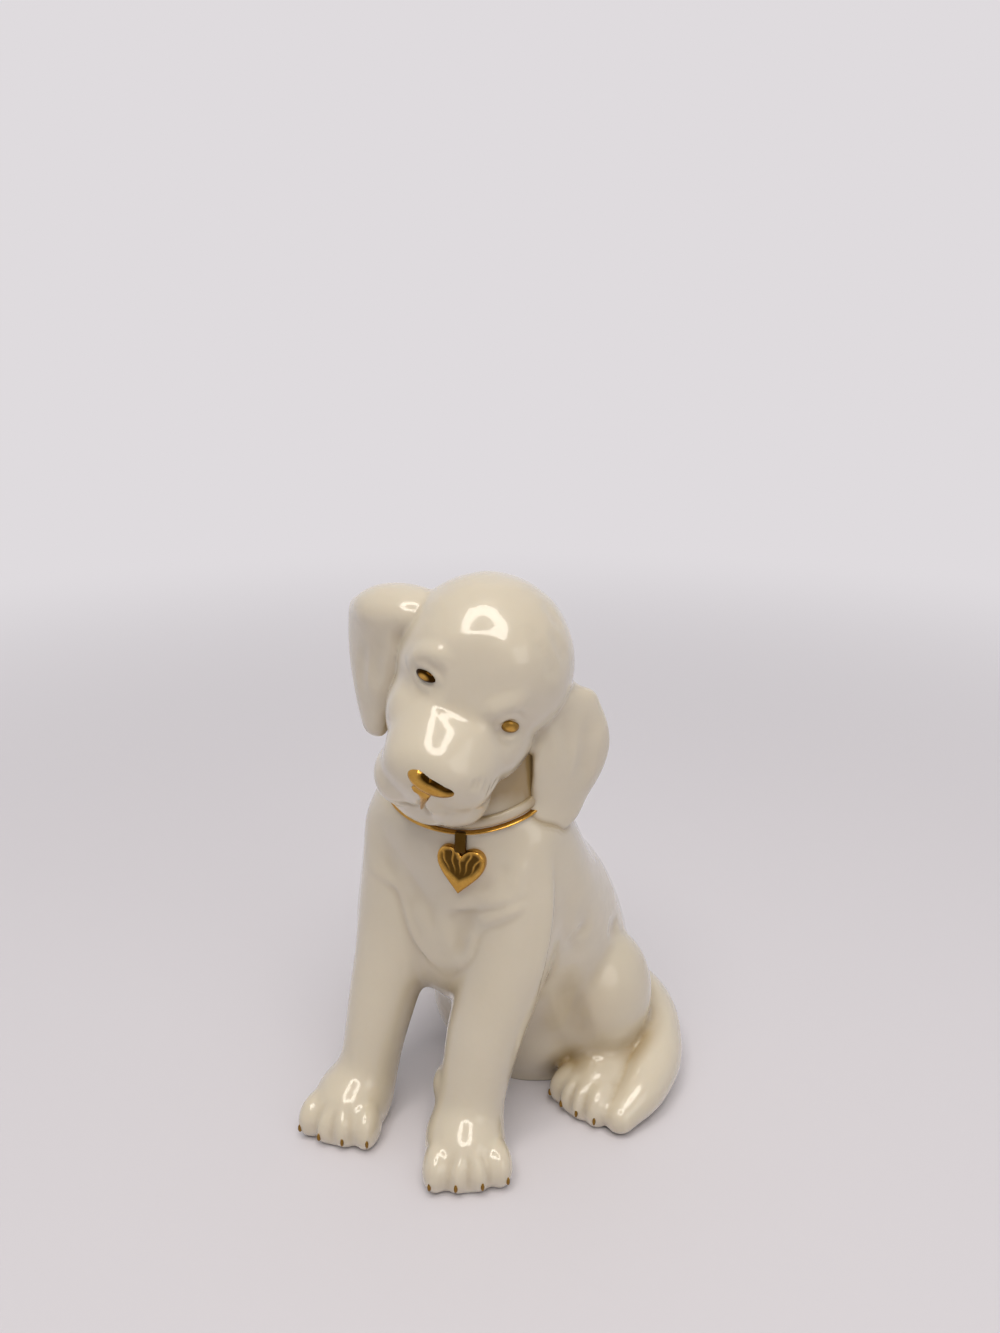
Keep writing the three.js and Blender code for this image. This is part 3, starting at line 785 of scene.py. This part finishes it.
# Collar and its gilded edge
# A porcelain strap laid round the throat, lower in front, with a line of bright gold on its lower edge.
# Both are bands of the neck's own form, grown outwards.

COLLAR_MIDDLE = Vector((1.6, -5, 69.8))
COLLAR_DIP = math.radians(17)
COLLAR_HALF = 1.1
COLLAR_RISE = -0.6
COLLAR_THICK = 0.8
EDGE_HEIGHT = 0.55
EDGE_THICK = 0.9
BAND_TURNS = 96
BAND_SIDES = 16
BAND_EVENING = 6


def neck_band(middle, height, thick):
    """A band of oval section round the neck, half sunk in it, at a height above the collar's middle."""
    clay = bmesh.new()
    square = Matrix.Rotation(COLLAR_DIP, 3, "X")
    start = COLLAR_MIDDLE + square @ Vector((0, 0, middle))
    turns = np.linspace(0, 2 * math.pi, BAND_TURNS + 1)[:-1]
    ways = [square @ Vector((math.cos(angle), math.sin(angle), 0)) for angle in turns]
    reach = np.array([body.tree.ray_cast(start, way)[3] for way in ways])
    for _ in range(BAND_EVENING):
        reach = (np.roll(reach, 1) + reach + np.roll(reach, -1)) / 3
    first = below = None
    for way, far in zip(ways, reach):
        upward = square @ Vector((0, 0, height / 2))
        turn = Matrix((way * thick, upward, way.cross(upward).normalized())).transposed().to_4x4()
        place = Matrix.Translation(start + way * far) @ turn
        ring = bmesh.ops.create_circle(clay, segments=BAND_SIDES, radius=1, matrix=place)["verts"]
        edges = list({e for v in ring for e in v.link_edges if e.other_vert(v) in ring})
        if below:
            bmesh.ops.bridge_loops(clay, edges=below + edges)
        first = first or edges
        below = edges
    bmesh.ops.bridge_loops(clay, edges=below + first)
    bmesh.ops.recalc_face_normals(clay, faces=clay.faces)
    return Skin(clay)


collar = neck_band(COLLAR_RISE, 2 * COLLAR_HALF, COLLAR_THICK)
fire(collar, "porcelain_collar", porcelain, ("collar",), pool_and_painted_shade(collar, body, head))


STREAK_SIZE = 1.2
STREAK_DEPTH = 0.03
LINE_DARKENING = 0.1


def bright_gold():
    """Fired liquid gold, brushed on over the glaze: a mirror-smooth film, mixed towards dark brown where
    painted shade is set on the piece.
    """
    material = bpy.data.materials.new("fired_bright_gold")
    material.use_nodes = True
    tree = material.node_tree
    surface = tree.nodes["Principled BSDF"]
    place = add_node(tree, "ShaderNodeTexCoord", {}).outputs["Object"]
    pool_and_shade = add_node(tree, "ShaderNodeAttribute", {}, attribute_name="pool_and_painted_shade").outputs["Fac"]
    streak = add_node(
        tree,
        "ShaderNodeTexNoise",
        {"Vector": place, "Scale": 1 / (STREAK_SIZE * MM), "Detail": 2.0, "Roughness": 0.6},
    ).outputs["Fac"]
    film = add_node(
        tree,
        "ShaderNodeMix",
        {"Factor": streak, "A": linear("A87A2E"), "B": linear("D9AC5A")},
        data_type="RGBA",
    ).outputs["Result"]
    # painted shade: the film is darkened towards brown by the attribute
    thick = add_node(
        tree,
        "ShaderNodeMix",
        {"Factor": pool_and_shade, "A": film, "B": linear("301D04")},
        data_type="RGBA",
    ).outputs["Result"]
    tree.links.new(thick, surface.inputs["Base Color"])
    wave = add_node(
        tree, "ShaderNodeBump", {"Height": streak, "Strength": 1.0, "Distance": STREAK_DEPTH * MM}
    ).outputs["Normal"]
    tree.links.new(wave, surface.inputs["Normal"])
    surface.inputs["Metallic"].default_value = 1.0
    surface.inputs["Roughness"].default_value = 0.16
    return material


gold = bright_gold()
gold_line = neck_band(COLLAR_RISE - COLLAR_HALF - EDGE_HEIGHT / 2, EDGE_HEIGHT, EDGE_THICK)
# the whole line is coloured a little towards dark brown
line_darkening = np.full(len(gold_line.points), LINE_DARKENING)
fire(gold_line, "gold_line", gold, ("collar_gilded_edge",), line_darkening)

# Heart tag and strap
# A gilded heart in low relief hangs from a short gilded strap below the collar, flat on the chest.
# The heart has a rounded rim and a dished, fluted face.

HEART_WIDTH = 9
HEART_HEIGHT = 9.2
HEART_THICK = 1.9
HEART_RIM = 0.8
RIM_WIDTHS = ((-0.6, 2.5), (-0.12, 0.8), (0.2, 0.3))  # at shares of the height, from the point to the lobes
HEART_POINT = 0.6  # share of the height that is below the middle
OUTLINE_STEPS = 14
FINE_STEPS = 80
HEART_KNEAD = (0.13, 2)
FACE_DEPTH = 0.5
FACE_STEP = 0.7
FACE_RUBS = 4
FACE_PAINTED_SHADE = 0.88
FLAMES = 30  # streaks in a full turn about the point
FLAME_HEIGHT = 0.36
FLAME_SWAY = 0.7
SWAYS_PER_MM = 2
FLAME_SHARPNESS = 4
FLAME_START = -1.8
FLAME_FADE = 2
FLAME_PAINTED_HIGHLIGHT = 0.7
HEART_HANG = math.radians(-5)
HEART_DROP = 0.6
STRAP = (2.1, 3.9, 1.3)
STRAP_DROP = 0.75
STRAP_SINK = 0.3
STRAP_ROUND = 0.4
STRAP_DARKENING = 0.9


def cad_place(node):
    """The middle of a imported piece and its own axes: across, upward and out of its flattest side."""
    points = np.array([v.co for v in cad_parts[node].data.vertices])
    low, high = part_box(node)
    flattest = np.linalg.eigh(np.cov(points.T))[1][:, 0]
    out = Vector(flattest)
    if out.y > 0:
        out = -out
    across = UP.cross(out).normalized()
    upward = out.cross(across)
    turn = Matrix((across, upward, out)).transposed().to_4x4()
    return Matrix.Translation((low + high) / 2 / MM + MIDDLE) @ turn


def heart_outline(steps):
    """The heart's edge from its point round both lobes, in four curves."""
    curves = (  # shares of half the width and of the height
        ((0, -HEART_POINT), (0.5, -0.32), (1, -0.12), (1, 0.12)),
        ((1, 0.12), (1, 0.44), (0.22, 0.48), (0, 0.22)),
        ((0, 0.22), (-0.22, 0.48), (-1, 0.44), (-1, 0.12)),
        ((-1, 0.12), (-1, -0.12), (-0.5, -0.32), (0, -HEART_POINT)),
    )
    points = []
    for curve in curves:
        knots = [Vector((x * HEART_WIDTH / 2, y * HEART_HEIGHT, 0)) for x, y in curve]
        points += geometry.interpolate_bezier(*knots, steps)[:-1]
    return points


heart = bmesh.new()
outline = heart_outline(OUTLINE_STEPS)
face = heart.faces.new([heart.verts.new(point) for point in outline])
grown = bmesh.ops.extrude_face_region(heart, geom=[face])["geom"]
front = [v for v in grown if isinstance(v, bmesh.types.BMVert)]
bmesh.ops.translate(heart, verts=front, vec=(0, 0, HEART_THICK))
bmesh.ops.recalc_face_normals(heart, faces=heart.faces)
front_face = max(heart.faces, key=lambda f: f.calc_center_median().z)
bmesh.ops.bevel(
    heart,
    geom=list(front_face.edges),
    offset=HEART_RIM,
    segments=4,
    profile=0.5,
    affect="EDGES",
    material=-1,
)
heart = knead(heart, *HEART_KNEAD)

# The face is sunk inside the rim, which is widest at the point, and streaks run up it like flames.
places = np.array([v.co for v in heart.verts])
edge = np.array(heart_outline(FINE_STEPS))[:, :2]
inside = np.linalg.norm(places[:, None, :2] - edge[None], axis=2).min(1)
rim_width = np.interp(places[:, 1] / HEART_HEIGHT, *zip(*RIM_WIDTHS))
sunk = np.clip((inside - rim_width) / FACE_STEP, 0, 1) * (places[:, 2] > HEART_THICK / 2)
fan = np.arctan2(places[:, 0], places[:, 1] + HEART_POINT * HEART_HEIGHT)
flicker = np.cos(FLAMES * fan + FLAME_SWAY * np.sin(SWAYS_PER_MM * places[:, 1]))
upper = np.clip((places[:, 1] - FLAME_START) / FLAME_FADE, 0, 1)
flame = np.clip(flicker, 0, 1) ** FLAME_SHARPNESS * upper * sunk
for vert, depth, ridge in zip(heart.verts, sunk, flame):
    vert.co.z += FLAME_HEIGHT * ridge - FACE_DEPTH * depth
for _ in range(FACE_RUBS):
    bmesh.ops.smooth_vert(heart, verts=heart.verts, factor=0.5, use_axis_z=True)
bmesh.ops.translate(heart, verts=heart.verts, vec=(0, 0, -HEART_THICK / 2))
hanging = (
    cad_place("heart_tag")
    @ Matrix.Translation((0, -HEART_DROP, 0))
    @ Matrix.Rotation(HEART_HANG, 4, "Z")
)
bmesh.ops.transform(heart, matrix=hanging, verts=heart.verts)
# painted shade darkens the sunk face, and painted highlight lightens the flames on it
heart_painted_shade_and_highlight = np.clip(FACE_PAINTED_SHADE * sunk - FLAME_PAINTED_HIGHLIGHT * flame, 0, 1)
fire(Skin(heart), "gilded_heart", gold, ("heart_tag",), heart_painted_shade_and_highlight)

strap = bmesh.new()
strap_place = cad_place("tag_strap") @ Matrix.Translation((0, -STRAP_DROP, -STRAP_SINK))
bmesh.ops.create_cube(strap, size=1, matrix=strap_place @ Matrix.Diagonal((*STRAP, 1)))
bmesh.ops.bevel(
    strap, geom=strap.edges[:], offset=STRAP_ROUND, segments=3, profile=0.5, affect="EDGES", material=-1
)
# the whole strap is coloured most of the way to dark brown
strap_darkening = np.full(len(strap.verts), STRAP_DARKENING)
fire(Skin(strap), "gilded_strap", gold, ("tag_strap",), strap_darkening)

# Nose
# The nose leather stands on the end of the muzzle, hollow on top with a full lower rim.
# It is gilded, and the gold runs down in a drip to the parting of the lips.

NOSE_PAD = ((0, -24.3, -7.8), (8.9, 4.8, 4.4))
NOSE_TILT = math.radians(24)
NOSTRILS = ((407, 770), (418, 772), (432, 777), (446, 784), (458, 791))
DRIP = ((423, 789), (424, 797), (422, 807))
DRIP_WIDTHS = (4.2, 1.8, 0.6)
DRIP_DEPTH = 1.0
NOSE_KNEAD = (0.14, 5)
NOSTRIL_TOOL = (1.9, -0.45)
NOSTRIL_SHADE_DEPTH = 0.14  # depth at which the painted shade in the nostrils is darkest

nose = bmesh.new()
lump(nose, NOSE_PAD[0], NOSE_PAD[1], Matrix.Rotation(NOSE_TILT, 4, "X"))
bmesh.ops.transform(nose, matrix=HEAD_PLACE, verts=nose.verts)
drip = [(*head.seen(pixel), width, DRIP_DEPTH) for pixel, width in zip(DRIP, DRIP_WIDTHS)]
roll(nose, drip, HEAD_PLACE.to_3x3() @ SIDEWAYS)
nose = Skin(knead(nose, *NOSE_KNEAD))
unsunk = nose.points.copy()
nose.mark(NOSTRILS, *NOSTRIL_TOOL)
# painted shade: the gold darkens where the nostrils are pressed in
nose_painted_shade = np.clip(np.linalg.norm(nose.points - unsunk, axis=1) / NOSTRIL_SHADE_DEPTH, 0, 1)
nose.settle(1)
fire(nose, "gilded_nose", gold, ("nose",), nose_painted_shade)

# Eyes
# Two almond eyeballs, gilded, set between the lids; the gold is darkened towards the lids as painted shade.

EYE_SIZES = {"left_eye": (3.5, 1.9, 2.6), "right_eye": (4.2, 1.9, 2.2)}
EYE_TOE_OUT = math.radians(24)
EYE_SLANTS = {"left_eye": math.radians(14), "right_eye": math.radians(15)}
LID_PAINTED_SHADE = {"left_eye": 0.5, "right_eye": 1.0}
LID_FROM = 0.3  # share of the way from the middle of the eye to its rim
LID_SPAN = 0.3

for name, side in (("left_eye", 1), ("right_eye", -1)):
    low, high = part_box(name)
    turn = (
        HEAD_PLACE.to_3x3().to_4x4()
        @ Matrix.Rotation(EYE_TOE_OUT * side, 4, "Z")
        @ Matrix.Rotation(EYE_SLANTS[name] * side, 4, "Y")
    )
    eye = bmesh.new()
    lump(eye, (0, 0, 0), EYE_SIZES[name])
    width, _, height = EYE_SIZES[name]
    rim = np.array([math.hypot(v.co.x / width, v.co.z / height) * 2 for v in eye.verts])
    place = Matrix.Translation((low + high) / 2 / MM + MIDDLE) @ turn
    bmesh.ops.transform(eye, matrix=place, verts=eye.verts)
    # painted shade along the lids
    lid_painted_shade = np.clip((rim - LID_FROM) / LID_SPAN, 0, 1) * LID_PAINTED_SHADE[name]
    fire(Skin(eye), f"gilded_{name}", gold, (name,), lid_painted_shade)

# Claws
# Each toe ends in a claw, a single short stroke of gold brushed on low down, darkened throughout as painted
# shade.

CLAW = (0.65, 0.9, 1.7)
# painted shade on every claw
CLAW_PAINTED_SHADE = 0.55
for limb in LEGS:
    for i in range(1, TOES + 1):
        name = f"{limb}_claw_{i}"
        low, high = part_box(name)
        middle, out, _, _ = body.tree.find_nearest((low + high) / 2 / MM + MIDDLE)
        level = Vector((out.x, out.y, 0)).normalized()
        turn = Matrix((UP.cross(level), level, UP)).transposed().to_4x4()
        claw = bmesh.new()
        lump(claw, middle, CLAW, turn)
        fire(Skin(claw), f"gilded_{name}", gold, (name,), np.full(len(claw.verts), CLAW_PAINTED_SHADE))

# Floor and light
# A pale table top that fades into a backdrop of the same colour, under a bright sky and a ring lamp,
# with a softer window to the right. The ring is what shows in the glaze on the brow and the muzzle.


def looked_at(tree):
    """1 for what the camera sees, straight or in gold and glaze; 0 for light that falls on the puppy."""
    path = add_node(tree, "ShaderNodeLightPath", {}).outputs
    looks = path["Is Camera Ray"]
    for kind in ("Is Glossy Ray", "Is Transmission Ray"):
        either = add_node(tree, "ShaderNodeMath", {0: looks, 1: path[kind]}, operation="MAXIMUM")
        looks = either.outputs["Value"]
    return looks


TABLE_HALF = 6
floor_mesh = bpy.data.meshes.new("table_top")
floor_clay = bmesh.new()
bmesh.ops.create_grid(floor_clay, x_segments=1, y_segments=1, size=TABLE_HALF)
floor_clay.to_mesh(floor_mesh)
floor_clay.free()
table_top = bpy.data.objects.new("table_top", floor_mesh)
bpy.context.scene.collection.objects.link(table_top)
paint = bpy.data.materials.new("matt_white_paint")
paint.use_nodes = True
wash = paint.node_tree
matt = wash.nodes["Principled BSDF"]
matt.inputs["Base Color"].default_value = linear("DCDAE3")
matt.inputs["Roughness"].default_value = 0.6
PALE = linear("DFDBDE")
FADE_NEAR = 0.16  # distances over which the table top pales into the backdrop
FADE_FAR = 0.6
spot = add_node(wash, "ShaderNodeTexCoord", {}).outputs["Object"]
away = add_node(wash, "ShaderNodeVectorMath", {0: spot}, operation="LENGTH").outputs["Value"]
haze = add_node(
    wash,
    "ShaderNodeMapRange",
    {"Value": away, "From Min": FADE_NEAR, "From Max": FADE_FAR},
    interpolation_type="SMOOTHSTEP",
).outputs["Result"]
seen_haze = add_node(
    wash, "ShaderNodeMath", {0: haze, 1: looked_at(wash)}, operation="MULTIPLY"
).outputs["Value"]
pale = add_node(wash, "ShaderNodeEmission", {"Color": PALE, "Strength": 1.0}).outputs["Emission"]
mixed = add_node(
    wash, "ShaderNodeMixShader", {0: seen_haze, 1: matt.outputs["BSDF"], 2: pale}
).outputs["Shader"]
wash.links.new(mixed, wash.nodes["Material Output"].inputs["Surface"])
floor_mesh.materials.append(paint)

WINDOW_PLACE = Vector((0.68, -0.24, 0.36))
WINDOW_AIM = Vector((0, 0, 0.05))
WINDOW_WIDTH = 0.42
WINDOW_POWER = 0.5
pane = bpy.data.lights.new("window", "AREA")
pane.size = WINDOW_WIDTH
pane.energy = WINDOW_POWER
pane.color = linear("FFFAF2")[:3]
window = bpy.data.objects.new("window", pane)
bpy.context.scene.collection.objects.link(window)
toward = (WINDOW_AIM - WINDOW_PLACE).to_track_quat("-Z", "Y")
window.matrix_world = Matrix.Translation(WINDOW_PLACE) @ toward.to_matrix().to_4x4()

RING_PLACE = Vector((0.144, -0.36, 0.9))
RING_INNER = 0.16
RING_OUTER = 0.34
RING_GLOW = 6.2
ring_clay = bmesh.new()
toward = (-RING_PLACE).to_track_quat("Z", "Y")
facing_down = Matrix.Translation(RING_PLACE) @ toward.to_matrix().to_4x4()
edges = []
for radius in (RING_INNER, RING_OUTER):
    ring = bmesh.ops.create_circle(ring_clay, segments=48, radius=radius, matrix=facing_down)["verts"]
    edges += list({e for v in ring for e in v.link_edges})
bmesh.ops.bridge_loops(ring_clay, edges=edges)
ring_mesh = bpy.data.meshes.new("ring_lamp")
ring_clay.to_mesh(ring_mesh)
ring_clay.free()
glow = bpy.data.materials.new("lamp_glow")
glow.use_nodes = True
bright = glow.node_tree.nodes["Principled BSDF"].inputs
bright["Base Color"].default_value = (0, 0, 0, 1)
bright["Emission Color"].default_value = linear("FFF8EE")
bright["Emission Strength"].default_value = RING_GLOW
ring_mesh.materials.append(glow)
ring_lamp = bpy.data.objects.new("ring_lamp", ring_mesh)
bpy.context.scene.collection.objects.link(ring_lamp)

SKY_LIGHT = 1.1
world = bpy.data.worlds.new("room")
world.use_nodes = True
room = world.node_tree
sky = room.nodes["Background"]
direction = add_node(room, "ShaderNodeTexCoord", {}).outputs["Generated"]
upward = add_node(room, "ShaderNodeSeparateXYZ", {"Vector": direction}).outputs["Z"]
fade = add_node(room, "ShaderNodeValToRGB", {"Fac": upward})
fade.color_ramp.elements[0].color = linear("403F3C")
fade.color_ramp.elements[0].position = 0.4
fade.color_ramp.elements[1].color = linear("F4F2EE")
fade.color_ramp.elements[1].position = 1.0
sky.inputs["Strength"].default_value = SKY_LIGHT
backdrop = add_node(room, "ShaderNodeBackground", {"Color": PALE, "Strength": 1.0}).outputs["Background"]
shown = add_node(
    room, "ShaderNodeMixShader", {0: looked_at(room), 1: sky.outputs["Background"], 2: backdrop}
).outputs["Shader"]
room.links.new(fade.outputs["Color"], sky.inputs["Color"])
room.links.new(shown, room.nodes["World Output"].inputs["Surface"])
bpy.context.scene.world = world
bpy.context.scene.view_settings.view_transform = "Standard"
